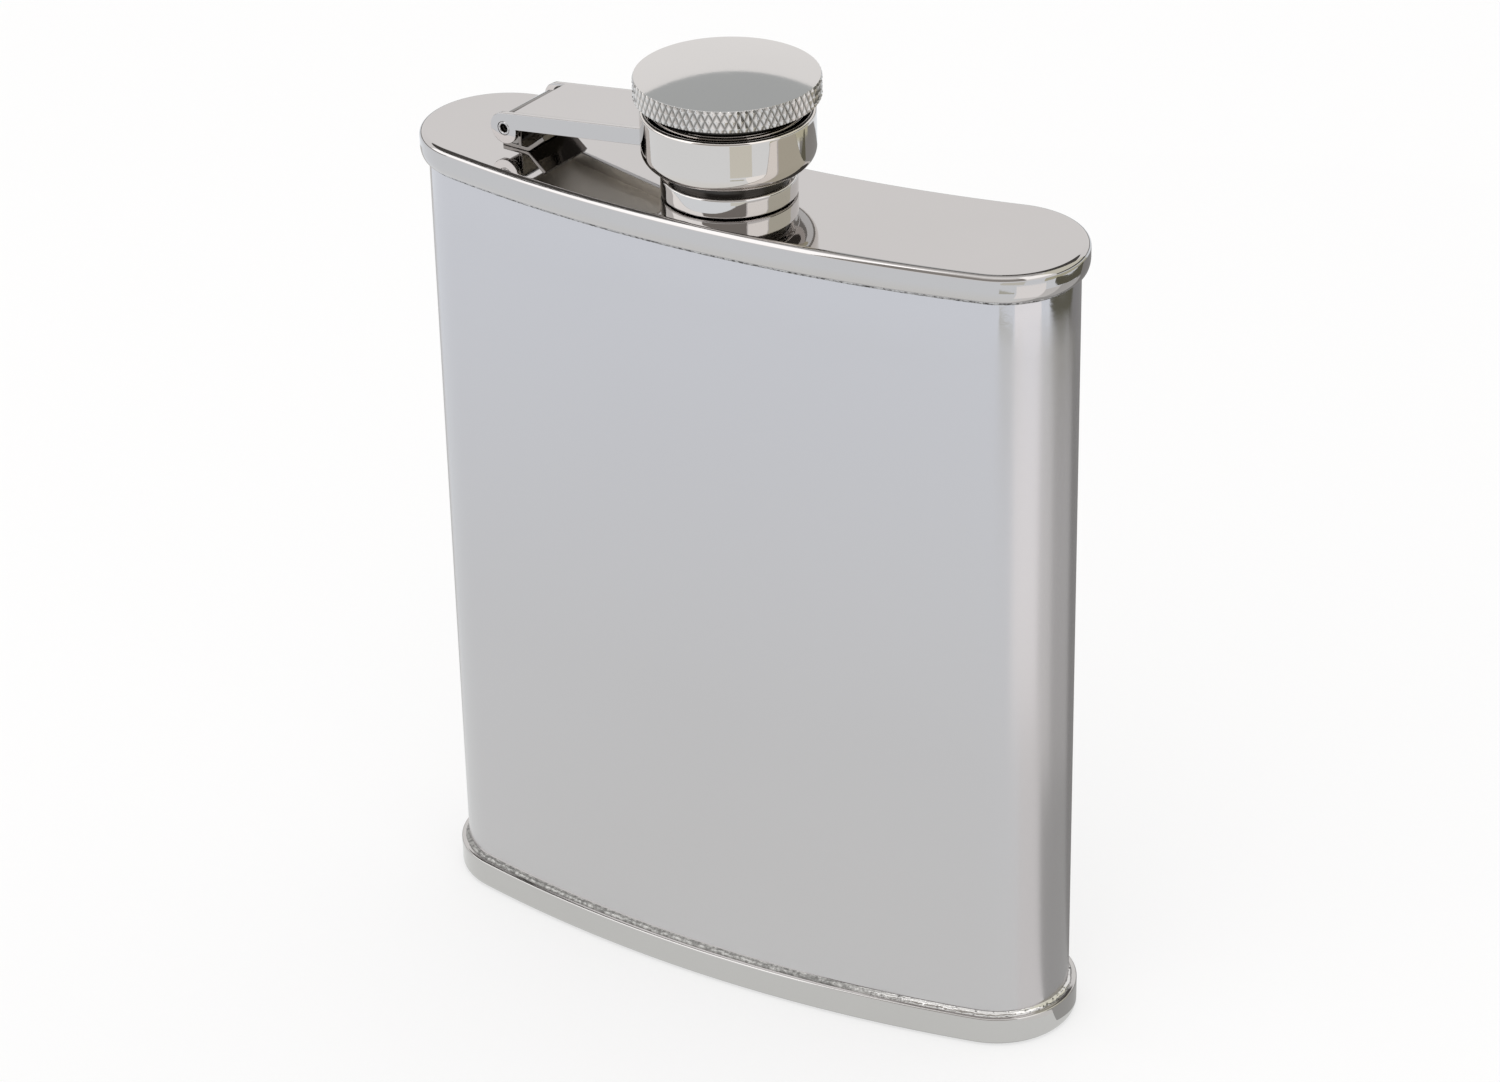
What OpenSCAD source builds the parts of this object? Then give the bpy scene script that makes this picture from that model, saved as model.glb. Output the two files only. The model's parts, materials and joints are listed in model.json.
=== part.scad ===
// Hip flask: a curved, flat-sided pocket flask with a captive screw cap on a hinged arm.
// Z is up and the base rests on z = 0. The flask stands with its convex face towards -Y.
// The body follows one spine: an arc seen from above that runs through the middle of its thickness.

/* [Body] */
// Overall width over the rims
overall_w = 95; // [76:1:120]
// Height of the top plate above the base
body_h = 113.5; // [80:0.5:160]
// Thickness of the sleeve, front to back
body_t = 19.6; // [18:0.2:28]
// Rise of the spine's arc from its ends to its middle
bow = 3.9; // [2:0.1:8]
// Sheet thickness of the sleeve
sleeve_wall = 0.5; // [0.4:0.1:1]
// How far the two rims stand out from the sleeve
rim_out = 1.1; // [0.8:0.1:2]
// Height of the top rim
top_rim_h = 3.8; // [2.5:0.1:6]
// Height of the base rim
base_rim_h = 4.2; // [2.5:0.1:6]
// Sheet thickness of the top and base plates
plate_t = 0.8; // [0.6:0.1:1.5]
// Radius of the rounded edge of each rim
edge_r = 0.8; // [0.3:0.1:1]
// Depth of the shallow panel pressed into the base
base_recess = 0.5; // [0.2:0.1:1]
// Width of the flat ring that the flask stands on
foot_w = 3; // [2:0.1:5]
// Size of the weld bead under the top rim
top_bead = 0.45; // [0.2:0.05:0.6]
// Size of the weld bead on the base rim
base_bead = 0.9; // [0.4:0.05:1]

/* [Neck] */
// Radius of the pouring bore
bore_r = 5.3; // [4:0.1:7]
// Wall of the neck under its thread
neck_wall = 0.7; // [0.5:0.1:1.5]
// Height of the neck's thread ridges
thread_h = 0.5; // [0.3:0.05:0.8]
// Thread pitch, which is also the rise of the cap in one turn
pitch = 1.35; // [1:0.05:1.5]
// Height of the neck's mouth above the top plate
neck_h = 8.3; // [7:0.1:9]
// Width of the neck's welded flange beyond its tube
neck_flange = 2.2; // [1.2:0.1:3]

/* [Cap] */
// How far the knurled head stands out past the captive ring
head_out = 0.75; // [0.3:0.05:3]
// Height of the knurled head
head_h = 3.25; // [2.5:0.05:5]
// Height of the head's slight dome
dome_h = 0.4; // [0.2:0.05:0.8]
// Gap between the head and the captive ring, where the head's bevel shows
groove_h = 1.7; // [1:0.1:3]
// Gap between the cap's body and the captive ring around it
plug_gap = 0.4; // [0.3:0.05:0.8]
// Wall of the cap's stem
stem_wall = 0.7; // [0.5:0.1:0.75]
// How far the collar that keeps the ring on the stem stands out from it
collar_out = 1.05; // [0.6:0.05:1.4]
// Height of the collar
collar_h = 2.6; // [2:0.1:3]
// Gap between the collar and the top plate
collar_lift = 0.15; // [0.1:0.05:0.3]
// Thickness of the seal inside the cap
seal_t = 1; // [0.6:0.1:1.5]

/* [Captive ring] */
// How far the ring's band stands out from the stem
ring_out = 3.45; // [3.2:0.05:4.5]
// Wall of the ring
ring_wall = 0.8; // [0.6:0.05:0.9]
// Height of the ring's straight band
band_h = 5; // [3.5:0.1:6]
// Height of the rounded bowl below the band
bowl_h = 2.35; // [2:0.05:3]
// How far the lip at the bottom of the bowl stands out from the stem
lip_out = 0.8; // [0.5:0.05:1]

/* [Hinge and arm] */
// Distance from the hinge pin to the neck's axis
arm_reach = 31.3; // [26:0.1:36]
// Height of the hinge pin above the top plate
pin_h = 3.25; // [3:0.05:4]
// Radius of the hinge pin
pin_r = 0.95; // [0.8:0.05:1]
// Radius of the blind hole in each end of the pin
pin_hole_r = 0.6; // [0.2:0.05:0.7]
// Width of the arm over its two flanges
arm_w = 12; // [10:0.1:14]
// Sheet thickness of the arm
arm_t = 0.7; // [0.5:0.05:0.8]
// Radius of the arm's round ears, which is also the height of its top above the pin
ear_r = 2.1; // [2:0.05:2.6]
// Depth of the arm's flanges
flange_h = 2.2; // [1.5:0.1:2.6]
// Angle at which the arm climbs from the pin to the ring
arm_rise = 8.1; // [6:0.1:10]
// Distance from the pin to the end of the arm's top sheet
arm_cut = 1.6; // [1.2:0.1:2.4]
// Outer radius of the bracket's knuckle round the pin
knuckle_r = 1.55; // [1.4:0.05:1.6]
// Sheet thickness of the bracket
bracket_t = 0.6; // [0.5:0.05:0.7]
// Gap between the bracket and each flange of the arm
bracket_gap = 0.9; // [0.3:0.05:1.5]
// Length of the bracket's foot towards the neck
foot_l = 2.6; // [1.8:0.1:4]
// Length and height of the bracket's upturned tongue
tongue = [2.6, 2.1]; // [1:0.1:3]

/* [Fits] */
// Radial clearance between the cap's bore and the neck's thread
thread_gap = 0.45; // [0.4:0.01:0.6]
// Radial clearance of turning fits: ring on stem, pin in knuckle
run_gap = 0.05; // [0.02:0.01:0.08]
// Clearance between parts that only pass one another
free_gap = 0.3; // [0.2:0.05:0.4]
// Play between sheets that are joined by welding
weld_gap = 0.02; // [0.01:0.01:0.05]

/* [Hidden] */
$fn = 96;
// How far a piece of one outline reaches into its neighbour, so that they join
lap = 0.01;
// The round ends are this much slimmer than the stretch between them, so no two faces are tangent.
seam_step = 0.01;
half_t = body_t / 2;
rim_r = half_t + rim_out;
skirt_in = half_t + weld_gap;
spine_x = overall_w / 2 - (rim_r - seam_step);
spine_r = (pow(spine_x, 2) + pow(bow, 2)) / (2 * bow);
spine_half = asin(spine_x / spine_r);
core_r = bore_r + neck_wall;
crest_r = core_r + thread_h;
stem_in = crest_r + thread_gap;
stem_out = stem_in + stem_wall;
collar_top = collar_lift + collar_h;
ring_bottom = collar_top + pitch + run_gap;
bowl_top = ring_bottom + bowl_h;
band_top = bowl_top + band_h;
head_bottom = band_top + groove_h;
ring_r = stem_out + ring_out;
lip_r = stem_out + lip_out;
ring_in = ring_r - ring_wall;
collar_r = stem_out + collar_out;
plug_r = ring_in - plug_gap;
head_r = ring_r + head_out;
floor_t = 0.75;
// In front the rim or the head reaches furthest from the ends' centres, and behind the rim's ends do.
depth_front = bow + max(rim_r, head_r);
shift_y = (depth_front - (rim_r - seam_step)) / 2;
neck_y = shift_y - bow;
plug_bottom = bowl_top + free_gap;
thread_top = neck_h - pitch;
thread_low = collar_top;
// The pin lies on the spine, so the arm is a chord from it to the neck at the spine's middle.
arm_turn = -asin(arm_reach / (2 * spine_r));
bracket_w = arm_w - 2 * (arm_t + bracket_gap);

// Points on a quarter round from one angle to another about a centre
function arc(c, r, from, to, n = 4) =
    [for (i = [0:n]) c + r * [cos(from + (to - from) * i / n), sin(from + (to - from) * i / n)]];

// Sweeps a half section along the spine and turns it about both ends: [distance from the spine, z]
module slab(half) {
    translate([0, shift_y + spine_r - bow, 0])
        rotate([0, 0, -90 - spine_half])
            rotate_extrude(angle = 2 * spine_half)
                translate([spine_r, 0]) {
                    polygon(half);
                    mirror([1, 0]) polygon(half);
                }
    for (side = [0, 1])
        mirror([side, 0, 0])
            translate([spine_x, shift_y, 0])
                rotate_extrude() polygon([for (p = half) [max(0, p[0] - seam_step), p[1]]]);
}

// The flask's outline seen from above, at a distance from the spine
module outline(side) {
    reach = 2 * spine_r;
    translate([0, shift_y + spine_r - bow]) intersection() {
        difference() {
            circle(r = spine_r + side);
            circle(r = spine_r - side);
        }
        polygon([[0, 0], reach * [-sin(spine_half), -cos(spine_half)],
                 reach * [sin(spine_half), -cos(spine_half)]]);
    }
    for (x = [-spine_x, spine_x]) translate([x, shift_y]) circle(r = side - seam_step);
}

// A slab with straight sides at a distance from the spine
module plain_slab(side, low, high) {
    translate([0, 0, low]) linear_extrude(height = high - low) outline(side);
}

module body_sleeve() {
    low = base_recess + plate_t;
    color("#bfc0c4") translate([0, 0, low])
        linear_extrude(height = body_h - plate_t - low) difference() {
            outline(half_t);
            outline(half_t - sleeve_wall);
        }
}

module top_pan() {
    low = body_h - top_rim_h;
    color("#c8c5c4") difference() {
        slab(concat([[0, low], [rim_r - edge_r / 2, low], [rim_r, low + edge_r / 2]],
                    arc([rim_r - edge_r, body_h - edge_r], edge_r, 0, 90), [[0, body_h]]));
        plain_slab(skirt_in, low - 1, body_h - plate_t);
        translate([0, neck_y, 0]) cylinder(r = core_r + weld_gap, h = body_h + 1);
    }
}

module base_pan() {
    foot_in = rim_r - edge_r - foot_w;
    color("#c8c5c4") difference() {
        slab(concat([[0, 0]], arc([rim_r - edge_r, edge_r], edge_r, -90, 0),
                    [[rim_r, base_rim_h], [0, base_rim_h]]));
        slab([[0, -1], [foot_in, -1], [foot_in, 0], [foot_in - base_recess, base_recess],
              [0, base_recess]]);
        plain_slab(skirt_in, base_recess + plate_t, base_rim_h + 1);
    }
}

// A weld bead round the sleeve, a rounded fillet that stands on z = 0 with a narrow flat crown
module weld_bead(size) {
    crown = 75;
    color("#9a9a98") difference() {
        slab(concat([[0, 0]], arc([skirt_in, 0], size, 0, crown, 3), [[0, size * sin(crown)]]));
        plain_slab(skirt_in, -1, size + 1);
    }
}

module top_weld_bead() {
    translate([0, 0, body_h - top_rim_h]) mirror([0, 0, 1]) weld_bead(top_bead);
}

module base_weld_bead() {
    translate([0, 0, base_rim_h]) weld_bead(base_bead);
}

module threaded_neck() {
    low = -2 * plate_t;
    color("#c4c2be") translate([0, neck_y, body_h]) rotate_extrude() {
        difference() {
            union() {
                translate([bore_r, low]) square([neck_wall, neck_h - low]);
                translate([bore_r, low]) square([neck_wall + neck_flange, plate_t]);
                for (z = [thread_top : -pitch : thread_low]) thread_ridge(z);
            }
            translate([core_r, neck_h]) rotate(45) square(neck_wall / 2, center = true);
        }
    }
}

// One ridge of the neck's thread, as a closed ring
module thread_ridge(z) {
    root = pitch * 0.4;
    crest = pitch * 0.1;
    translate([core_r, z]) polygon([[-lap, -root], [thread_h, -crest], [thread_h, crest], [-lap, root]]);
}

// Puts its children in the hinge's frame: the pin's axis along Y, and X towards the neck
module at_hinge() {
    translate([0, neck_y, body_h + pin_h]) rotate([0, 0, arm_turn])
        translate([-arm_reach, 0, 0]) children();
}

// Extrudes an outline in the hinge's X and Z evenly to both sides of the arm's middle plane
module across(width) {
    rotate([90, 0, 0]) translate([0, 0, -width / 2]) linear_extrude(height = width) children();
}

module hinge_bracket() {
    foot_z = -pin_h;
    bore = pin_r + run_gap;
    // Cut upright, the sloping tongue is this thick
    tongue_t = bracket_t * norm(tongue) / tongue[0];
    color("#8d8b88") at_hinge() difference() {
        across(bracket_w) {
            circle(r = knuckle_r);
            translate([knuckle_r - bracket_t, foot_z]) square([bracket_t, pin_h]);
            translate([-knuckle_r, foot_z]) square([knuckle_r + foot_l, bracket_t]);
            translate([foot_l - lap, foot_z])
                polygon([[0, 0], tongue, tongue + [0, tongue_t], [0, bracket_t]]);
        }
        across(bracket_w + 1) circle(r = bore);
    }
}

module hinge_pin() {
    color("#b5b3b0") at_hinge() difference() {
        across(arm_w) circle(r = pin_r);
        for (side = [-1, 1])
            translate([0, side * (arm_w / 2 - arm_t), 0]) rotate([-side * 90, 0, 0])
                cylinder(r = pin_hole_r, h = arm_t + 1);
    }
}

module hinge_arm() {
    color("#c8c5c4") difference() {
        at_hinge() rotate([0, -arm_rise, 0]) difference() {
            union() {
                translate([arm_cut, -arm_w / 2, ear_r - arm_t]) cube([arm_reach, arm_w, arm_t]);
                for (side = [-1, 1])
                    translate([0, side * (arm_w - arm_t) / 2, 0]) across(arm_t) {
                        circle(r = ear_r);
                        translate([0, ear_r - flange_h]) square([arm_reach, flange_h]);
                    }
            }
            across(arm_w + 1) circle(r = pin_r + weld_gap);
        }
        translate([0, neck_y, 0]) cylinder(r = ring_r + weld_gap, h = 2 * body_h);
    }
}

module captive_ring() {
    top_round = ring_wall / 2;
    bowl_turn = 15;
    color("#c9c6c2") translate([0, neck_y, body_h]) rotate_extrude() polygon(concat(
        [[stem_out + run_gap, ring_bottom], [lip_r, ring_bottom]],
        [for (a = [bowl_turn:bowl_turn:90]) [lip_r + (ring_r - lip_r) * sin(a), bowl_top - bowl_h * cos(a)]],
        arc([ring_r - top_round, band_top - top_round], top_round, 0, 180, 8),
        [[ring_in, bowl_top], [stem_out + run_gap + floor_t, ring_bottom + floor_t],
         [stem_out + run_gap, ring_bottom + floor_t]]));
}

module cap_head() {
    head_edge = 0.2;
    chamfer = 0.5;
    dome_steps = 8;
    groove_r = plug_r - head_edge;
    color("#d4d1cf") translate([0, neck_y, body_h]) rotate_extrude() polygon(concat(
        [[0, head_bottom - groove_h], [plug_r, head_bottom - groove_h],
         [groove_r, head_bottom - groove_h / 2], [head_r - chamfer, head_bottom - head_edge],
         [head_r, head_bottom], [head_r, head_bottom + head_h - dome_h - head_edge]],
        [for (i = [1:dome_steps]) let (a = 90 * i / dome_steps)
            [head_r * cos(a), head_bottom + head_h - dome_h * (1 - sin(a))]]));
}

module cap_stem() {
    seat = neck_h + seal_t;
    color("#b9b7b3") translate([0, neck_y, body_h]) rotate_extrude() difference() {
        union() {
            translate([0, collar_lift]) square([stem_out, band_top - collar_lift]);
            translate([0, plug_bottom]) square([plug_r, band_top - plug_bottom]);
        }
        translate([-1, -1]) square([stem_in + 1, seat + 1]);
    }
}

module cap_collar() {
    round = 0.3;
    color("#c9c6c2") translate([0, neck_y, body_h]) rotate_extrude() polygon(concat(
        [[stem_out + weld_gap, collar_lift]],
        arc([collar_r - round, collar_lift + round], round, -90, 0, 4),
        arc([collar_r - round, collar_top - round], round, 0, 90, 4),
        [[stem_out + weld_gap, collar_top]]));
}

module cap_seal() {
    color("#e8e6e0") translate([0, neck_y, body_h + neck_h])
        cylinder(r = stem_in - 2 * run_gap, h = seal_t);
}

body_sleeve();
top_pan();
base_pan();
top_weld_bead();
base_weld_bead();
threaded_neck();
hinge_bracket();
hinge_pin();
hinge_arm();
captive_ring();
cap_head();
cap_stem();
cap_collar();
cap_seal();
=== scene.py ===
import json
import math

import bmesh
import bpy
from mathutils import Matrix, Vector, noise


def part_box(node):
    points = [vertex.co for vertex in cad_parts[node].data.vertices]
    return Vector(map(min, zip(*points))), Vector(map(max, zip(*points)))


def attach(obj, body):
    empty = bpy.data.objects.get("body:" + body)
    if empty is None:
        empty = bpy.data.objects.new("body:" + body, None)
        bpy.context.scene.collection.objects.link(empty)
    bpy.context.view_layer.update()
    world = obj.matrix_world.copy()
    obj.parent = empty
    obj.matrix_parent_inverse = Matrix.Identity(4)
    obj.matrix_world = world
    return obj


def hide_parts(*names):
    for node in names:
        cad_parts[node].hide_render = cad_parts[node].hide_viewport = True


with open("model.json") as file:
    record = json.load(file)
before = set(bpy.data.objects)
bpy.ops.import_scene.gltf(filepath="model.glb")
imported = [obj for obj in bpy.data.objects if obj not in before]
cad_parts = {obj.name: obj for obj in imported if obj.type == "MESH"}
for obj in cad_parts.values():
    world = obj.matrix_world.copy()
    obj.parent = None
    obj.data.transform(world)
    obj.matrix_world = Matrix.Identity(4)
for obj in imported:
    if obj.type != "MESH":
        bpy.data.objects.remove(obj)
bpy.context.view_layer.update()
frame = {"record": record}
MM = 0.001
BODY_OF = {node: body for body, nodes in frame["record"]["behaviour"]["bodies"].items() for node in nodes}

# ---------------------------------------------------------------- sizes, in millimetres and degrees
HALF_T = 9.8
BOW = 3.9
RIM_OUT = 1.1
SLEEVE_WALL = 0.5
PLATE = 0.8
EDGE_R = 0.8
RECESS = 0.5
FOOT_W = 3.0
BORE_R = 5.3
NECK_WALL = 0.7
THREAD_H = 0.5
PITCH = 1.35
STEM_WALL = 0.7
RING_WALL = 0.8
DOME = 0.4
GROOVE = 1.7
BOWL_H = 2.35
LIP_R = 8.45
FLOOR_T = 0.75
ARM_RISE = 8.1
ARM_T = 0.7
ARM_W = 12.0
EAR_R = 2.1
FLANGE = 2.2
ARM_CUT = 1.6
KNUCKLE_R = 1.55
BRACKET_T = 0.6
BRACKET_GAP = 0.9
FOOT_L = 2.6
TONGUE = (2.6, 2.1)
PIN_HOLE = 0.6
WELD_GAP = 0.02
RUN_GAP = 0.05
SEAL_GAP = 0.1
KNURL_COUNT = 74
KNURL_DEPTH = 0.30
KNURL_EDGE = 0.16
KNURL_LEAN = 27.0


def node_box(node):
    """A node's lowest and highest corners in millimetres"""
    low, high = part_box(node)
    return low / MM, high / MM


SLEEVE_LOW, SLEEVE_HIGH = node_box("body_sleeve")
RIM_LOW, RIM_HIGH = node_box("top_pan")
BASE_TOP = node_box("base_pan")[1].z
TOP_Z = RIM_HIGH.z
RIM_R = HALF_T + RIM_OUT
SPINE_X = (RIM_HIGH.x - RIM_LOW.x) / 2 - RIM_R
SPINE_R = (SPINE_X ** 2 + BOW ** 2) / (2 * BOW)
SPINE_A = math.asin(SPINE_X / SPINE_R)
SHIFT_Y = RIM_HIGH.y - RIM_R
NECK_LOW, NECK_HIGH = node_box("threaded_neck")
NECK_X = (NECK_LOW.x + NECK_HIGH.x) / 2
NECK_Y = (NECK_LOW.y + NECK_HIGH.y) / 2
PIN_LOW, PIN_HIGH = node_box("hinge_pin")
PIN = (PIN_LOW + PIN_HIGH) / 2
PIN_R = (PIN_HIGH.z - PIN_LOW.z) / 2
ARM_REACH = math.hypot(NECK_X - PIN.x, NECK_Y - PIN.y)
ARM_TURN = math.atan2(NECK_Y - PIN.y, NECK_X - PIN.x)
RING_LOW, RING_HIGH = node_box("captive_ring")
RING_R = (RING_HIGH.x - RING_LOW.x) / 2
HEAD_LOW, HEAD_HIGH = node_box("cap_head")
HEAD_R = (HEAD_HIGH.x - HEAD_LOW.x) / 2
STEM_LOW, STEM_HIGH = node_box("cap_stem")
PLUG_R = (STEM_HIGH.x - STEM_LOW.x) / 2
COLLAR_LOW, COLLAR_HIGH = node_box("cap_collar")
COLLAR_R = (COLLAR_HIGH.x - COLLAR_LOW.x) / 2
SEAL_LOW, SEAL_HIGH = node_box("cap_seal")
SEAL_R = (SEAL_HIGH.x - SEAL_LOW.x) / 2
CORE_R = BORE_R + NECK_WALL
STEM_IN = SEAL_R + SEAL_GAP
STEM_OUT = STEM_IN + STEM_WALL

# Other inputs and outputs of a mix node share these names, so they go by number
MIX_SHARE, MIX_FIRST, MIX_SECOND = 0, 6, 7
MIX_RESULT = 2


# ---------------------------------------------------------------- node helpers
def put(tree, kind, inputs=None, **settings):
    """A new node with its settings, and its inputs linked or set by name or by number"""
    node = tree.nodes.new(kind)
    for key, value in settings.items():
        setattr(node, key, value)
    for key, value in (inputs or {}).items():
        if isinstance(value, bpy.types.NodeSocket):
            tree.links.new(value, node.inputs[key])
        else:
            node.inputs[key].default_value = value
    return node


def calc(tree, operation, *values):
    return put(tree, "ShaderNodeMath", dict(enumerate(values)), operation=operation).outputs[0]


def ramp(tree, value, start, end, low=0.0, high=1.0):
    """A number that goes from low to high while a value goes from start to end, and no further"""
    return put(tree, "ShaderNodeMapRange", {"Value": value, "From Min": start, "From Max": end,
                                            "To Min": low, "To Max": high}).outputs[0]


def rgba(colour):
    return colour if isinstance(colour, bpy.types.NodeSocket) else (*colour, 1.0)


def blend(tree, share, first, second, how="MIX"):
    """A colour that goes from the first to the second as the share goes from 0 to 1"""
    inputs = {MIX_SHARE: share, MIX_FIRST: rgba(first), MIX_SECOND: rgba(second)}
    return put(tree, "ShaderNodeMix", inputs, data_type="RGBA", blend_type=how).outputs[MIX_RESULT]


def cloud(tree, place, scale, detail, roughness=0.5, distortion=0.0):
    """Soft noise from 0 to 1"""
    return put(tree, "ShaderNodeTexNoise", {"Vector": place, "Scale": scale, "Detail": detail,
                                            "Roughness": roughness, "Distortion": distortion}).outputs[0]


def object_place(tree):
    return put(tree, "ShaderNodeTexCoord").outputs["Object"]


def split(tree, vector):
    return put(tree, "ShaderNodeSeparateXYZ", {0: vector}).outputs


def new_material(name, metallic=0.0):
    """A material, its node tree and its shader"""
    material = bpy.data.materials.new(name)
    material.use_nodes = True
    shader = material.node_tree.nodes["Principled BSDF"]
    shader.inputs["Metallic"].default_value = metallic
    return material, material.node_tree, shader


def dress(tree, shader, colour, roughness, height, strength, depth):
    """Links a colour and a roughness to the shader, with a bump of a depth in metres"""
    bump = put(tree, "ShaderNodeBump", {"Strength": strength, "Distance": depth, "Height": height})
    tree.links.new(colour, shader.inputs["Base Color"])
    tree.links.new(roughness, shader.inputs["Roughness"])
    tree.links.new(bump.outputs[0], shader.inputs["Normal"])


# ---------------------------------------------------------------- shader groups
def shader_group(name, inputs, outputs):
    """An empty shader node group, with its named float inputs and outputs"""
    tree = bpy.data.node_groups.new(name, "ShaderNodeTree")
    for label, value in inputs.items():
        socket = tree.interface.new_socket(name=label, in_out="INPUT", socket_type="NodeSocketFloat")
        socket.default_value = value
    for label in outputs:
        tree.interface.new_socket(name=label, in_out="OUTPUT", socket_type="NodeSocketFloat")
    return tree, tree.nodes.new("NodeGroupInput").outputs, tree.nodes.new("NodeGroupOutput").inputs


def build_grain():
    """Fine directionless grain and a slow tone drift, as on a satin-rolled sheet"""
    tree, given, result = shader_group("satin_grain", {"Size": 2500.0, "Drift": 30.0}, ("Height", "Tone"))
    place = object_place(tree)
    tree.links.new(cloud(tree, place, given["Size"], 3.0, 0.6), result["Height"])
    tree.links.new(cloud(tree, place, given["Drift"], 4.0, 0.55), result["Tone"])
    return tree


def build_handling():
    """Faint smudges and hairline scratches left by handling, from 0 for clean to 1"""
    tree, given, result = shader_group("handling", {"Size": 60.0}, ("Mask", "Lines"))
    place = object_place(tree)
    patches = cloud(tree, place, given["Size"], 5.0, 0.62, 0.6)
    scratches = []
    for turn, stretch in ((0.5, 18.0), (2.1, 26.0)):
        turned = put(tree, "ShaderNodeMapping", {"Vector": place, "Rotation": (turn, turn * 0.7, turn * 1.3),
                                                 "Scale": (1.0, stretch, 1.0)}).outputs[0]
        scratches.append(ramp(tree, cloud(tree, turned, 190.0, 2.0), 0.7, 0.76))
    tree.links.new(ramp(tree, patches, 0.45, 0.75, 0.0, 0.5), result["Mask"])
    tree.links.new(calc(tree, "MAXIMUM", *scratches), result["Lines"])
    return tree


def build_lathe_marks():
    """Fine rings round the cap's axis, as a lathe tool leaves"""
    tree, _, result = shader_group("lathe_marks", {}, ("Height",))
    rings_per_metre = 9000.0
    x, y, z = split(tree, object_place(tree))
    sides = [calc(tree, "SUBTRACT", x, NECK_X * MM), calc(tree, "SUBTRACT", y, NECK_Y * MM)]
    squares = [calc(tree, "MULTIPLY", side, side) for side in sides]
    far = calc(tree, "SQRT", calc(tree, "ADD", *squares))
    count = calc(tree, "MULTIPLY", calc(tree, "ADD", far, z), rings_per_metre)
    across = put(tree, "ShaderNodeCombineXYZ", {0: count}).outputs[0]
    tree.links.new(cloud(tree, across, 1.0, 2.0), result["Height"])
    return tree


GRAIN = build_grain()
HANDLING = build_handling()
LATHE = build_lathe_marks()


# ---------------------------------------------------------------- finishes
def steel(name, light, dark, smooth, worn, grain_bump, drift=30.0, smudge=60.0, scratches=0.0, turned=False):
    """A steel finish: two tones that drift over the sheet, handling in the roughness and a fine grain"""
    material, tree, shader = new_material(name, metallic=1.0)
    grain = put(tree, "ShaderNodeGroup", {"Drift": drift}, node_tree=GRAIN).outputs
    hand = put(tree, "ShaderNodeGroup", {"Size": smudge}, node_tree=HANDLING).outputs
    tone = blend(tree, ramp(tree, grain["Tone"], 0.3, 0.7), dark, light)
    wear = calc(tree, "ADD", hand["Mask"], calc(tree, "MULTIPLY", hand["Lines"], scratches))
    height = grain["Height"]
    if turned:
        marks = put(tree, "ShaderNodeGroup", node_tree=LATHE).outputs["Height"]
        height = calc(tree, "ADD", height, marks)
    dress(tree, shader, tone, ramp(tree, wear, 0.0, 1.0, smooth, worn), height, grain_bump, 0.00002)
    return material


def tint_by_height(tree, height, span, low, high):
    """Multiplies the colour by one tint below a span of heights in millimetres and by another above it,
    which paints light and shade by height
    """
    colour = tree.nodes["Principled BSDF"].inputs["Base Color"]
    tint = blend(tree, ramp(tree, height, span[0] * MM, span[1] * MM), low, high)
    tree.links.new(blend(tree, 1.0, colour.links[0].from_socket, tint, how="MULTIPLY"), colour)


def satin_sheet():
    """The sleeve's satin finish, buffed smoother beside the two welds, with painted light that makes it a
    little brighter up high and painted shade that makes it a little darker low down
    """
    material = steel("satin_steel", (0.590, 0.578, 0.590), (0.577, 0.565, 0.577), 0.25, 0.262, 0.16,
                     drift=9.0, smudge=20.0)
    tree = material.node_tree
    place = object_place(tree)
    height = split(tree, place)[2]
    raggedness, smoothing = 3.5, 0.72
    ragged = calc(tree, "MULTIPLY_ADD", cloud(tree, place, 240.0, 3.0), raggedness * MM, height)
    by_top = ramp(tree, ragged, (RIM_LOW.z - 6.5) * MM, (RIM_LOW.z - 0.5) * MM)
    by_base = ramp(tree, ragged, (BASE_TOP + 3.6) * MM, (BASE_TOP + 2.0) * MM)
    buffed = calc(tree, "MAXIMUM", by_top, by_base)
    # Painted light and shade by height: the sleeve is tinted a little darker and warmer low down and a
    # little brighter and bluer up high.
    painted_light_span, warm_painted_shade, cool_painted_tint = (0.4 * RIM_LOW.z, 0.9 * RIM_LOW.z), (0.995, 0.99, 0.98), (1.05, 1.05, 1.06)
    tint_by_height(tree, height, painted_light_span, warm_painted_shade, cool_painted_tint)
    rough = tree.nodes["Principled BSDF"].inputs["Roughness"]
    share = calc(tree, "MULTIPLY_ADD", buffed, -smoothing, 1.0)
    tree.links.new(calc(tree, "MULTIPLY", rough.links[0].from_socket, share), rough)
    return material


def base_steel():
    """Polished steel, a painted shade a little darker than the top's, with a painted contact shadow in the
    last half millimetre, where the base meets what it stands on
    """
    material = steel("base_pan_steel", (0.562, 0.548, 0.538), (0.547, 0.533, 0.523), 0.05, 0.09, 0.03,
                     scratches=0.5)
    tree = material.node_tree
    height = split(tree, object_place(tree))[2]
    # Painted contact shadow: the colour darkens towards the bottom half millimetre.
    contact_shadow_span, shadow, plain = (0.22, 0.5), (0.3, 0.3, 0.29), (1.0, 1.0, 1.0)
    tint_by_height(tree, height, contact_shadow_span, shadow, plain)
    return material


def knurled_steel():
    """Turned steel with painted shade at the bottom of the grooves, from the piece's own groove attribute"""
    material = steel("knurled_steel", (0.74, 0.72, 0.705), (0.66, 0.64, 0.625), 0.10, 0.2, 0.05)
    tree = material.node_tree
    depth = put(tree, "ShaderNodeAttribute", attribute_name="groove").outputs["Fac"]
    colour = tree.nodes["Principled BSDF"].inputs["Base Color"]
    # Painted shade: the deeper the groove, the darker the colour.
    groove_shade = ramp(tree, depth, 0.4, 0.95)
    tree.links.new(blend(tree, groove_shade, colour.links[0].from_socket, (0.30, 0.29, 0.275)), colour)
    return material


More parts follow.
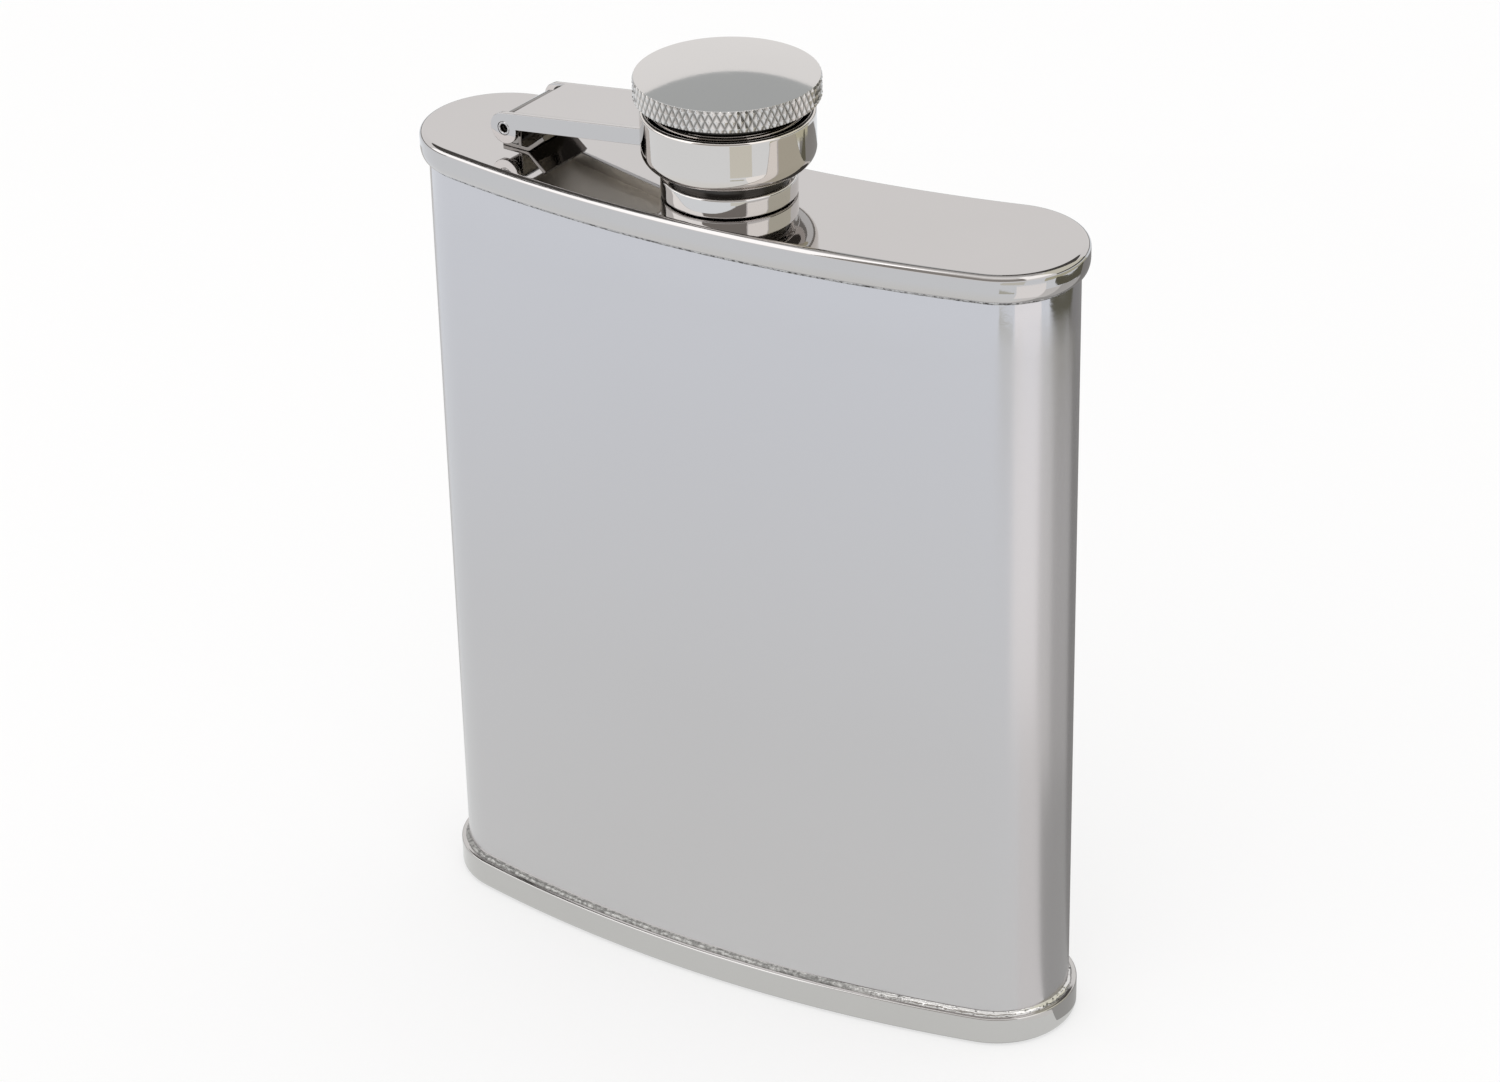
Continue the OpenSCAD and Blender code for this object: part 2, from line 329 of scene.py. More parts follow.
def weld_finish(name, light, dark, smooth, bright_from=None):
    """Melted metal with rough dark specks of scale; past a place along X in metres it is smoother and
    carries painted glints
    """
    material, tree, shader = new_material(name, metallic=1.0)
    place = object_place(tree)
    speck = cloud(tree, place, 1700.0, 4.0, 0.7)
    clean = ramp(tree, speck, 0.42, 0.56)
    colour = blend(tree, clean, dark, light)
    roughness = ramp(tree, clean, 0.0, 1.0, smooth + 0.2, smooth)
    if bright_from is not None:
        fade, smoothing = 0.012, 0.75
        glint_share = ramp(tree, split(tree, place)[0], bright_from, bright_from + fade)
        # Painted glints past the place: the specks of scale turn near-black and the metal between them turns
        # light, on top of the weld's real specks.
        scale, metal = (0.10, 0.097, 0.094), (0.72, 0.71, 0.70)
        painted_glints = blend(tree, ramp(tree, speck, 0.36, 0.44), scale, metal)
        colour = blend(tree, glint_share, colour, painted_glints)
        roughness = calc(tree, "MULTIPLY", roughness, calc(tree, "MULTIPLY_ADD", glint_share, -smoothing, 1.0))
    dress(tree, shader, colour, roughness, speck, 0.35, 0.00004)
    return material


def seal_plastic():
    """The sealing disc's off-white plastic"""
    material, tree, shader = new_material("seal_plastic")
    grain = put(tree, "ShaderNodeGroup", {"Size": 1800.0, "Drift": 220.0}, node_tree=GRAIN).outputs
    colour = blend(tree, grain["Tone"], (0.74, 0.72, 0.67), (0.80, 0.785, 0.74))
    roughness = ramp(tree, grain["Tone"], 0.0, 1.0, 0.42, 0.55)
    dress(tree, shader, colour, roughness, grain["Height"], 0.2, 0.00003)
    return material


SATIN = satin_sheet()
POLISHED = steel("polished_steel", (0.575, 0.556, 0.550), (0.56, 0.541, 0.535), 0.035, 0.075, 0.03,
                 scratches=0.5)
BASE_STEEL = base_steel()
# The ring's steel is a lighter, warmer copy of the polished steel: painted light, standing for the beige
# reflections the ring shows.
RING = steel("ring_steel", (0.662, 0.628, 0.598), (0.647, 0.613, 0.583), 0.035, 0.075, 0.03, scratches=0.5)
TURNED = steel("turned_steel", (0.65, 0.632, 0.62), (0.63, 0.612, 0.60), 0.045, 0.09, 0.05, turned=True)
KNURLED = knurled_steel()
# The bracket's steel is a much darker copy of the steel: painted shade, as under the arm.
BRACKET = steel("bracket_steel", (0.27, 0.256, 0.245), (0.20, 0.19, 0.182), 0.06, 0.12, 0.05)
# The arm's underside is a lighter, rougher copy of the steel: painted light, standing for light the top
# plate throws up under the arm.
UNDERSIDE = steel("arm_underside_steel", (0.95, 0.91, 0.84), (0.94, 0.90, 0.83), 0.45, 0.46, 0.02)
# Near-black steel that paints shade into the pin's holes, the stem's gap under the ring and the head's
# waist.
RECESS_SHADE = steel("painted_recess_shade", (0.060, 0.056, 0.052), (0.035, 0.033, 0.031), 0.22, 0.3, 0.05)
WELD = weld_finish("weld_steel", (0.56, 0.555, 0.55), (0.06, 0.057, 0.054), 0.25)
BASE_WELD = weld_finish("base_weld_steel", (0.46, 0.455, 0.44), (0.26, 0.257, 0.25), 0.38, bright_from=0.02)
SEAL = seal_plastic()


# ---------------------------------------------------------------- mesh helpers, in millimetres
def spread(start, end, steps):
    """Evenly spaced numbers from the start to the end"""
    return [start + (end - start) * i / steps for i in range(steps + 1)]


def arc(x, z, r, start, end, steps=8):
    """Points on an arc about (x, z), in degrees"""
    turns = [math.radians(angle) for angle in spread(start, end, steps)]
    return [(x + r * math.cos(turn), z + r * math.sin(turn)) for turn in turns]


def add_piece(name, mesh, node):
    """Adds a piece that rides with its node's body and stands for the node"""
    piece = bpy.data.objects.new(name, mesh)
    bpy.context.scene.collection.objects.link(piece)
    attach(piece, BODY_OF[node])
    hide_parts(node)
    return piece


def finish_piece(name, bm, material, node, sharp=32.0, merge=True):
    """Makes a piece from a mesh in millimetres, smooth but for edges sharper than an angle in degrees"""
    if merge:
        bmesh.ops.remove_doubles(bm, verts=bm.verts, dist=0.0008)
    bmesh.ops.recalc_face_normals(bm, faces=bm.faces)
    for v in bm.verts:
        v.co *= MM
    mesh = bpy.data.meshes.new(name)
    bm.to_mesh(mesh)
    bm.free()
    mesh.materials.append(material)
    mesh.polygons.foreach_set("use_smooth", [True] * len(mesh.polygons))
    mesh.set_sharp_from_angle(angle=math.radians(sharp))
    return add_piece(name, mesh, node)


def refinish(piece, material, chosen):
    """Gives a second finish to the faces that a test picks"""
    piece.data.materials.append(material)
    for face in piece.data.polygons:
        if chosen(face):
            face.material_index = 1


def loop_faces(bm, first, second):
    """Quads between two rings of vertices"""
    count = len(first)
    for i in range(count):
        j = (i + 1) % count
        corners = [first[i], first[j], second[j], second[i]]
        corners = [v for k, v in enumerate(corners) if v not in corners[:k]]
        if len(corners) > 2:
            bm.faces.new(corners)


def outline(side, long_steps=72, end_steps=40):
    """The flask's outline at a distance from its spine, anticlockwise from the front's left"""
    centre_y = SHIFT_Y + SPINE_R - BOW
    front, back = -math.pi / 2, math.pi / 2
    arcs = [(0.0, centre_y, SPINE_R + side, front - SPINE_A, 2 * SPINE_A, long_steps),
            (SPINE_X, SHIFT_Y, side, front + SPINE_A, math.pi, end_steps),
            (0.0, centre_y, SPINE_R - side, front + SPINE_A, -2 * SPINE_A, long_steps),
            (-SPINE_X, SHIFT_Y, side, back - SPINE_A, math.pi, end_steps)]
    points = []
    for x, y, r, start, turn, steps in arcs:
        for i in range(steps):
            a = start + turn * i / steps
            points.append((x + r * math.cos(a), y + r * math.sin(a)))
    return points


def sweep(bm, section, closed=True, **steps):
    """Carries a section of (distance from the spine, height) points round the flask"""
    rings = [[bm.verts.new((x, y, z)) for x, y in outline(side, **steps)] for side, z in section]
    for a, b in zip(rings, rings[1:]):
        loop_faces(bm, a, b)
    if closed:
        loop_faces(bm, rings[-1], rings[0])
    return rings


def lathe(bm, section, closed=True, steps=160, centre=(NECK_X, NECK_Y)):
    """Turns a section of (radius, height) points about an upright axis, which is the neck's unless given"""
    x, y = centre
    turns = [2 * math.pi * i / steps for i in range(steps)]
    rings = []
    for r, z in section:
        if r < 1e-6:
            rings.append([bm.verts.new((x, y, z))] * steps)
        else:
            rings.append([bm.verts.new((x + r * math.cos(a), y + r * math.sin(a), z)) for a in turns])
    for a, b in zip(rings, rings[1:]):
        loop_faces(bm, a, b)
    if closed:
        loop_faces(bm, rings[-1], rings[0])
    return rings


def fill_between(bm, outer, inner):
    """A flat sheet between an outer ring and a ring of the hole in it"""
    edges = []
    for ring in (outer, inner):
        for i, v in enumerate(ring):
            pair = (v, ring[(i + 1) % len(ring)])
            edges.append(bm.edges.get(pair) or bm.edges.new(pair))
    bmesh.ops.triangle_fill(bm, use_beauty=True, use_dissolve=False, edges=edges)


def inset(points, depth):
    """An anticlockwise outline moved inwards by a depth"""
    least = 0.35
    moved = []
    for i, p in enumerate(points):
        before = (Vector(p) - Vector(points[i - 1])).normalized()
        after = (Vector(points[(i + 1) % len(points)]) - Vector(p)).normalized()
        side = Vector((-before.y - after.y, before.x + after.x))
        reach = depth / max(least, side.length / 2)
        moved.append(tuple(Vector(p) + side.normalized() * reach))
    return moved


def plate(bm, points, low, high, edge, place, hole=None, steps=4):
    """A plate with rounded edges from an outline of (x, z) points, between two y values"""
    rounds = []
    for i in range(steps + 1):
        a = math.pi / 2 * i / steps
        rounds.append((edge * (1 - math.sin(a)), edge * (1 - math.cos(a))))
    levels = [(low + out, inwards) for inwards, out in rounds]
    levels += [(high - out, inwards) for inwards, out in rounds[::-1]]
    rings = []
    for y, inwards in levels:
        ring = inset(points, inwards) if inwards > 1e-6 else points
        rings.append([bm.verts.new(place @ Vector((x, y, z))) for x, z in ring])
    for a, b in zip(rings, rings[1:]):
        loop_faces(bm, a, b)
    if hole is None:
        bm.faces.new(rings[0])
        bm.faces.new(rings[-1])
    else:
        ends = [[bm.verts.new(place @ Vector((x, y, z))) for x, z in hole] for y in (low, high)]
        loop_faces(bm, *ends)
        fill_between(bm, rings[0], ends[0])
        fill_between(bm, rings[-1], ends[1])


def strip_outline(path, thickness):
    """The closed outline, anticlockwise, of a bent strip whose middle line is the path"""
    left, right = [], []
    for i, p in enumerate(path):
        a = Vector(path[max(0, i - 1)])
        b = Vector(path[min(len(path) - 1, i + 1)])
        along = (b - a).normalized()
        side = Vector((-along.y, along.x)) * thickness / 2
        left.append(tuple(Vector(p) + side))
        right.append(tuple(Vector(p) - side))
    return (left + right[::-1])[::-1]


# ---------------------------------------------------------------- flask body
def make_sleeve():
    """The bent sheet that is the flask's front, back and round ends"""
    bm = bmesh.new()
    heights = spread(SLEEVE_LOW.z, SLEEVE_HIGH.z, 10)
    outside = [(HALF_T, z) for z in heights]
    inside = [(HALF_T - SLEEVE_WALL, z) for z in heights[::-1]]
    sweep(bm, outside + inside, end_steps=64)
    finish_piece("satin_sleeve", bm, SATIN, "body_sleeve")


def make_top():
    """The pressed top plate, with a rounded edge above its rim and a slower roll below"""
    bm = bmesh.new()
    low, under = RIM_LOW.z, TOP_Z - PLATE
    skirt = HALF_T + WELD_GAP
    roll_w, roll_h, margin = 0.75, 1.7, 0.15
    section = [(skirt - margin, under), (skirt, under), (skirt, low)]
    section += [(RIM_R - roll_w + x, low + roll_h + z * roll_h / roll_w)
                for x, z in arc(0, 0, roll_w, -90, 0, 10)]
    section += [(RIM_R, TOP_Z - EDGE_R - 2 * margin)]
    section += arc(RIM_R - EDGE_R, TOP_Z - EDGE_R, EDGE_R, 0, 90, 12)
    section += [(RIM_R - EDGE_R - margin, TOP_Z)]
    rings = sweep(bm, section, closed=False, end_steps=72)
    hole_r = CORE_R + WELD_GAP
    hole = lathe(bm, [(hole_r, under), (hole_r, TOP_Z)], closed=False, steps=96)
    fill_between(bm, rings[0], hole[0])
    fill_between(bm, rings[-1], hole[1])
    finish_piece("polished_top", bm, POLISHED, "top_pan")


def make_base():
    """The pressed base: a recessed panel, a flat foot ring round it and a rim"""
    bm = bmesh.new()
    skirt, high, inside = HALF_T + WELD_GAP, BASE_TOP, RECESS + PLATE
    foot, toe_r, lip_r, margin = RIM_R - EDGE_R - FOOT_W, 0.18, 0.25, 0.3
    section = [(foot - RECESS - margin, RECESS), (foot - RECESS, RECESS)]
    section += arc(foot, toe_r, toe_r, 150, 270, 4)
    section += arc(RIM_R - EDGE_R, EDGE_R, EDGE_R, -90, 0, 8)
    section += [(RIM_R, EDGE_R + margin), (RIM_R, high - 2 * lip_r)]
    section += arc(RIM_R - lip_r, high - lip_r, lip_r, 0, 90, 4)
    section += [(skirt, high), (skirt, inside), (skirt - 0.2, inside)]
    rings = sweep(bm, section, closed=False, end_steps=56)
    bm.faces.new(rings[0])
    bm.faces.new(rings[-1])
    base = finish_piece("polished_base", bm, BASE_STEEL, "base_pan")
    facing_down = -0.95
    refinish(base, POLISHED, lambda face: face.normal.z < facing_down)


def make_bead(name, node, section, material, wobble, z, up):
    """A weld bead with a rippled, uneven crown, from a section of (distance from the sleeve, height)"""
    bm = bmesh.new()
    steps = {"long_steps": 560, "end_steps": 200}
    rings = sweep(bm, [(HALF_T + out, z + up * h) for out, h in section], **steps)
    sleeve = outline(HALF_T, **steps)
    fine, coarse, slump = 2.6, 0.7, 0.8
    for ring, (out, h) in zip(rings, section):
        if out <= 0:
            continue
        for v, (x, y) in zip(ring, sleeve):
            spot = Vector((x, y, h))
            ripple = 0.5 + noise.noise(spot * fine) * 0.5 + noise.noise(spot * coarse) * 0.5
            ease = min(1.0, max(0.0, ripple))
            keep = 1.0 - wobble * ease
            v.co.x = x + (v.co.x - x) * keep
            v.co.y = y + (v.co.y - y) * keep
            v.co.z = z + (v.co.z - z) * (1.0 - wobble * (1.0 - ease) * slump)
    finish_piece(name, bm, material, node, sharp=60.0)


def make_welds():
    """A thin bead under the top rim and a fuller one on the base rim"""
    top = [(0.0, 0.0), (0.42, 0.0)] + arc(0.02, 0.0, 0.44, 10, 80, 7) + [(0.0, 0.45)]
    base = [(0.0, 0.0), (0.55, 0.0), (0.53, 0.12), (0.46, 0.26), (0.35, 0.38), (0.22, 0.47), (0.1, 0.52),
            (0.0, 0.54)]
    make_bead("top_seam_weld", "top_weld_bead", top, WELD, 0.6, RIM_LOW.z, -1)
    make_bead("base_seam_weld", "base_weld_bead", base, BASE_WELD, 0.28, BASE_TOP, 1)


def add_thread(bm, start, end):
    """A helical ridge on the neck between two heights, which fades in and out at its ends"""
    per_turn, fade_steps, sunk = 72, 14, -0.06
    shoulder = THREAD_H * 0.72
    section = [(sunk, -0.42), (shoulder, -0.16), (THREAD_H, -0.07), (THREAD_H, 0.07), (shoulder, 0.16),
               (sunk, 0.42)]
    count = int((end - start) / PITCH * per_turn)
    rings = []
    for i in range(count + 1):
        a = 2 * math.pi * i / per_turn
        fade = min(1.0, i / fade_steps, (count - i) / fade_steps)
        ring = []
        for out, rise in section:
            r = CORE_R + (out * fade if out > 0 else out)
            z = start + PITCH * i / per_turn + PITCH * rise
            ring.append(bm.verts.new((NECK_X + r * math.cos(a), NECK_Y + r * math.sin(a), z)))
        rings.append(ring)
    for a, b in zip(rings, rings[1:]):
        loop_faces(bm, a, b)
    bm.faces.new(rings[0])
    bm.faces.new(rings[-1])


def make_neck():
    """The neck tube with its thread, welded into the top by a flange"""
    bm = bmesh.new()
    low, high = NECK_LOW.z, NECK_HIGH.z
    flange_r = (NECK_HIGH.x - NECK_LOW.x) / 2
    lip_r, bore_lip_r = 0.25, 0.2
    section = [(BORE_R, low), (flange_r, low), (flange_r, low + PLATE), (CORE_R, low + PLATE)]
    section += [(CORE_R, high - 0.3)] + arc(CORE_R - lip_r, high - lip_r, lip_r, 0, 90, 4)
    section += arc(BORE_R + bore_lip_r, high - bore_lip_r, bore_lip_r, 90, 180, 4)
    lathe(bm, section, steps=120)
    plain_below, plain_above = 2.4, 0.9
    add_thread(bm, TOP_Z + plain_below, high - plain_above)
    finish_piece("threaded_neck_tube", bm, TURNED, "threaded_neck")


# ---------------------------------------------------------------- hinge
HINGE = Matrix.Translation(PIN) @ Matrix.Rotation(ARM_TURN, 4, "Z")
CLIMB = HINGE @ Matrix.Rotation(-math.radians(ARM_RISE), 4, "Y")


def make_bracket():
    """A strap welded to the top, with a leaning tongue in front and a curl round the pin"""
    bm = bmesh.new()
    half, edge = ARM_W / 2 - ARM_T - BRACKET_GAP, 0.13
    floor = TOP_Z - PIN.z + BRACKET_T / 2
    bend, heel, toe = 0.7, 0.5, 0.3
    lean = math.degrees(math.atan2(TONGUE[1], TONGUE[0]))
    foot = [(-KNUCKLE_R, floor), (0.0, floor), (FOOT_L - heel, floor)]
    foot += arc(FOOT_L - toe, floor + bend, bend, -90, -90 + lean, 6)
    foot += [(FOOT_L + TONGUE[0], floor + TONGUE[1])]
    plate(bm, strip_outline(foot, BRACKET_T), -half, half, edge, HINGE)
    bore = PIN_R + RUN_GAP
    knuckle = (KNUCKLE_R + bore) / 2
    curl = [(knuckle, floor), (knuckle, floor / 2)] + arc(0, 0, knuckle, 0, 335, 40)
    plate(bm, strip_outline(curl, KNUCKLE_R - bore), -half, half, edge, HINGE)
    finish_piece("curled_bracket", bm, BRACKET, "hinge_bracket", merge=False)


def make_pin():
    """A rivet with a blind hole in each end"""
    bm = bmesh.new()
    half, edge, depth = ARM_W / 2, 0.12, 0.66
    bottom = -half + depth
    section = [(0.0, bottom), (0.18, bottom), (PIN_HOLE - 0.08, bottom), (PIN_HOLE, bottom - 0.1)]
    section += [(PIN_HOLE, -half + edge / 2), (PIN_HOLE + edge / 2, -half), (PIN_R - edge, -half)]
    section += [(PIN_R, -half + edge)]
    section += [(a, -b) for a, b in section[::-1]]
    lathe(bm, section, closed=False, steps=64, centre=(0.0, 0.0))
    for v in bm.verts:
        v.co = HINGE @ Vector((v.co.x, v.co.z, v.co.y))
    pin = finish_piece("riveted_pin", bm, POLISHED, "hinge_pin")
    from_pin = HINGE.inverted()

    def in_hole(face):
        spot = from_pin @ (face.center / MM)
        return 0.14 < math.hypot(spot.x, spot.z) < PIN_HOLE + 0.02 and abs(spot.y) < half - 0.05

    # The holes get painted shade, all but a small dot in the middle of each floor.
    refinish(pin, RECESS_SHADE, in_hole)


def make_arm():
    """The pressed channel: a sheet between two flanges with round ears, cut to meet the ring"""
    bm = bmesh.new()
    half, edge = ARM_W / 2, 0.07
    bottom = EAR_R - FLANGE
    ring_cut = RING_R - RING_WALL / 2
    climb = math.radians(ARM_RISE)
    foot = math.degrees(math.asin(-bottom / EAR_R))
    far = ARM_REACH
    side = arc(0, 0, EAR_R, 90, 360 - foot, 48) + [(far, bottom), (far, EAR_R)]
    side += [(far - (far - 0.4) * i / 12, EAR_R) for i in range(1, 13)]
    hole = arc(0, 0, PIN_R + WELD_GAP, 0, 360, 40)[:-1]
    still = Matrix.Identity(4)
    plate(bm, side, -half, -half + ARM_T, edge, still, hole)
    plate(bm, side, half - ARM_T, half, edge, still, hole)
    low, high = EAR_R - ARM_T, EAR_R - 0.002
    into_flange = 0.2
    inner = half - ARM_T + into_flange
    sheet = [(ARM_CUT, low), (far, low), (far, high), (ARM_CUT, high)]
    plate(bm, sheet, -inner, inner, 0.0, still, steps=1)
    for v in bm.verts:
        x, y, z = v.co
        share = max(0.0, (x - ARM_CUT) / (far - ARM_CUT))
        end = (ARM_REACH - math.sqrt(ring_cut ** 2 - y * y) + z * math.sin(climb)) / math.cos(climb)
        v.co.x = x + (end - far) * share
    for v in bm.verts:
        v.co = CLIMB @ v.co
    arm = finish_piece("channel_arm", bm, POLISHED, "hinge_arm", merge=False)
    from_arm, near = CLIMB.inverted(), 0.05

    def is_under(face):
        spot = from_arm @ (face.center / MM)
        return spot.x > ARM_CUT and spot.z < low + near and abs(spot.y) < half - ARM_T + near

    # The underside gets the lighter copy of the steel, painted light.
    refinish(arm, UNDERSIDE, is_under)


# ---------------------------------------------------------------- cap
def near_axis(low, high, radius):
    """A test for faces near the neck's axis, between two heights"""
    def chosen(face):
        spot = face.center / MM
        return low < spot.z < high and math.hypot(spot.x - NECK_X, spot.y - NECK_Y) < radius
    return chosen


def make_ring():
    """The ring that keeps the cap on the arm: a floor, a rounded bowl and a straight band"""
    bm = bmesh.new()
    low, high = RING_LOW.z, RING_HIGH.z
    inner = STEM_OUT + RUN_GAP
    bowl_top = low + BOWL_H
    top = RING_WALL / 2
    turns = [math.radians(angle) for angle in range(6, 91, 7)]
    section = [(inner, low), (LIP_R - 0.12, low), (LIP_R, low + 0.05)]
    section += [(LIP_R + (RING_R - LIP_R) * math.sin(a), bowl_top - BOWL_H * math.cos(a)) for a in turns]
    section += [(RING_R, bowl_top + 0.4), (RING_R, high - top - 0.2)]
    section += arc(RING_R - top, high - top, top, 0, 180, 12)
    section += [(RING_R - RING_WALL, bowl_top), (inner + FLOOR_T, low + FLOOR_T), (inner, low + FLOOR_T)]
    lathe(bm, section)
    finish_piece("captive_ring_band", bm, RING, "captive_ring")


def make_stem():
    """The cap's hollow stem and the plug above it, with painted shade where the stem passes through the ring
    """
    bm = bmesh.new()
    low, high, seat = STEM_LOW.z, STEM_HIGH.z, SEAL_HIGH.z
    slot_top = RING_LOW.z + 0.1
    plug, chamfer = RING_LOW.z + BOWL_H + 0.3, 0.15
    section = [(0.0, seat), (STEM_IN, seat), (STEM_IN, low + 0.2), (STEM_IN + 0.2, low)]
    section += [(STEM_OUT - 0.1, low), (STEM_OUT, low + 0.1), (STEM_OUT, COLLAR_HIGH.z)]
    section += [(STEM_OUT, slot_top), (STEM_OUT, plug)]
    section += [(PLUG_R - chamfer, plug), (PLUG_R, plug + chamfer), (PLUG_R, high), (0.0, high)]
    lathe(bm, section, closed=False)
    stem = finish_piece("hollow_stem", bm, TURNED, "cap_stem")
    refinish(stem, RECESS_SHADE, near_axis(COLLAR_HIGH.z - 0.01, slot_top, PLUG_R))


def make_collar():
    """The collar that keeps the ring on the stem"""
    bm = bmesh.new()
    low, high, edge, margin = COLLAR_LOW.z, COLLAR_HIGH.z, 0.3, 0.8
    inner = STEM_OUT + WELD_GAP
    section = [(inner, low)] + arc(COLLAR_R - edge, low + edge, edge, -90, 0, 5)
    section += [(COLLAR_R, low + margin), (COLLAR_R, high - margin)]
    section += arc(COLLAR_R - edge, high - edge, edge, 0, 90, 5) + [(inner, high)]
    lathe(bm, section)
    finish_piece("stem_collar", bm, TURNED, "cap_collar")


def make_seal():
    """The sealing disc, with a shallow ring-shaped groove underneath"""
    bm = bmesh.new()
    low, high, edge, groove = SEAL_LOW.z, SEAL_HIGH.z, 0.15, 0.12
    section = [(0.0, low), (SEAL_R * 0.58, low), (SEAL_R * 0.6, low + groove), (SEAL_R * 0.84, low + groove)]
    section += [(SEAL_R * 0.86, low)] + arc(SEAL_R - edge, low + edge, edge, -90, 0, 4)
    section += [(SEAL_R, high), (0.0, high)]
    lathe(bm, section, closed=False, steps=96)
    finish_piece("liner_disc", bm, SEAL, "cap_seal")


def make_head():
    """The head's core inside the knurled grip: a lip, a waist in painted shade and a low dome"""
    bm = bmesh.new()
    low, high = HEAD_LOW.z, HEAD_HIGH.z
    under, rim = low + GROOVE, high - DOME
    core = HEAD_R - KNURL_DEPTH - 0.04
    foot_r, wall = PLUG_R - 0.02, PLUG_R - 0.3
    dome_r = HEAD_R - KNURL_EDGE
    turns = [math.radians(angle) for angle in range(90, -1, -5)]
    section = [(0.0, low), (foot_r, low), (foot_r, low + 0.35), (wall, low + 0.55), (wall, under - 0.2)]
    section += [(wall + 0.15, under - 0.1), (core - 0.25, under - 0.05), (core, under + 0.3)]
    section += [(core, rim - 0.3), (dome_r, rim - 0.02)]
    section += [(dome_r * math.sin(a), high - DOME * math.sin(a) ** 2) for a in turns]
    lathe(bm, section, closed=False, steps=180)
    head = finish_piece("cap_head_crown", bm, TURNED, "cap_head", sharp=40.0)
    refinish(head, RECESS_SHADE, near_axis(low + 0.4, under - 0.02, core - 0.1))


def knurl_tree():
    """Diamond knurling: a band of pyramids between two families of leaning grooves"""
    tree = bpy.data.node_groups.new("diamond_knurl", "GeometryNodeTree")
    face = tree.interface
    face.new_socket(name="Geometry", in_out="OUTPUT", socket_type="NodeSocketGeometry")
    kinds = {"Radius": "Float", "Low": "Float", "Height": "Float", "Depth": "Float", "Edge": "Float",
             "Count": "Int", "Rows": "Float", "Centre": "Vector", "Finish": "Material"}
    for label, kind in kinds.items():
        face.new_socket(name=label, in_out="INPUT", socket_type="NodeSocket" + kind)
    given = tree.nodes.new("NodeGroupInput").outputs
    out = tree.nodes.new("NodeGroupOutput")
    steps_per_diamond, rows_of_points, flat = 14.0, 41, 0.86

    def times(a, b):
        return calc(tree, "MULTIPLY", a, b)

    def plus(a, b):
        return calc(tree, "ADD", a, b)

    def minus(a, b):
        return calc(tree, "SUBTRACT", a, b)

    columns = plus(times(given["Count"], steps_per_diamond), 1.0)
    grid = put(tree, "GeometryNodeMeshGrid", {"Size X": 1.0, "Size Y": 1.0, "Vertices X": columns,
                                              "Vertices Y": rows_of_points}).outputs["Mesh"]
    spot = split(tree, put(tree, "GeometryNodeInputPosition").outputs[0])
    across, climb = spot[0], spot[1]
    along = times(across, given["Count"])
    up = times(climb, given["Rows"])
    ridges = [calc(tree, "PINGPONG", lines, 0.5) for lines in (plus(along, up), minus(along, up))]
    rise = calc(tree, "MINIMUM", times(calc(tree, "MINIMUM", *ridges), 2.0), flat)
    cut = times(minus(flat, rise), given["Depth"])
    from_edge = times(minus(0.5, calc(tree, "ABSOLUTE", climb)), given["Height"])
    slope = calc(tree, "MAXIMUM", minus(given["Edge"], from_edge), 0.0)
    radius = minus(given["Radius"], calc(tree, "MAXIMUM", cut, slope))
    turn = times(across, 2 * math.pi)
    place = put(tree, "ShaderNodeCombineXYZ", {
        0: times(radius, calc(tree, "COSINE", turn)),
        1: times(radius, calc(tree, "SINE", turn)),
        2: plus(given["Low"], times(plus(climb, 0.5), given["Height"]))}).outputs[0]
    moved = put(tree, "ShaderNodeVectorMath", {0: place, 1: given["Centre"]}, operation="ADD").outputs[0]
    groove = minus(1.0, calc(tree, "DIVIDE", rise, flat))
    shape = put(tree, "GeometryNodeStoreNamedAttribute", {"Geometry": grid, "Name": "groove",
                                                          "Value": groove})
    for kind, inputs in (("SetPosition", {"Position": moved}), ("MergeByDistance", {"Distance": 1e-6}),
                         ("SetShadeSmooth", {"Shade Smooth": False}), ("RealizeInstances", {}),
                         ("SetMaterial", {"Material": given["Finish"]})):
        shape = put(tree, "GeometryNode" + kind, {"Geometry": shape.outputs[0], **inputs})
    tree.links.new(shape.outputs[0], out.inputs["Geometry"])
    return tree


def grown(name, tree, node, slot, **values):
    """Runs a geometry tree once and keeps its result as a plain mesh"""
    host = bpy.data.objects.new(name + "_host", bpy.data.meshes.new(name + "_host"))
    bpy.context.scene.collection.objects.link(host)
    modifier = host.modifiers.new("grow", "NODES")
    modifier.node_group = tree
    for item in tree.interface.items_tree:
        if item.in_out == "INPUT":
            modifier[item.identifier] = values[item.name]
    graph = bpy.context.evaluated_depsgraph_get()
    mesh = bpy.data.meshes.new_from_object(host.evaluated_get(graph))
    mesh.name = name
    host.modifiers.clear()
    bpy.data.objects.remove(host)
    add_piece(name, mesh, node)


def make_knurl():
    """The knurled grip round the head"""
    low = HEAD_LOW.z + GROOVE - 0.02
    height = HEAD_HIGH.z - DOME - low
    rows = height * math.tan(math.radians(KNURL_LEAN)) / (2 * math.pi * HEAD_R / KNURL_COUNT)
    grown("knurled_grip", knurl_tree(), "cap_head", "turned_steel", Radius=HEAD_R * MM, Low=low * MM,
          Height=height * MM, Depth=KNURL_DEPTH * MM, Edge=KNURL_EDGE * MM, Count=KNURL_COUNT, Rows=rows,
          Centre=(NECK_X * MM, NECK_Y * MM, 0.0), Finish=KNURLED)


make_sleeve()
make_top()
make_base()
make_welds()
make_neck()
make_bracket()
make_pin()
make_arm()
make_ring()
make_stem()
make_collar()
make_seal()
make_head()
make_knurl()


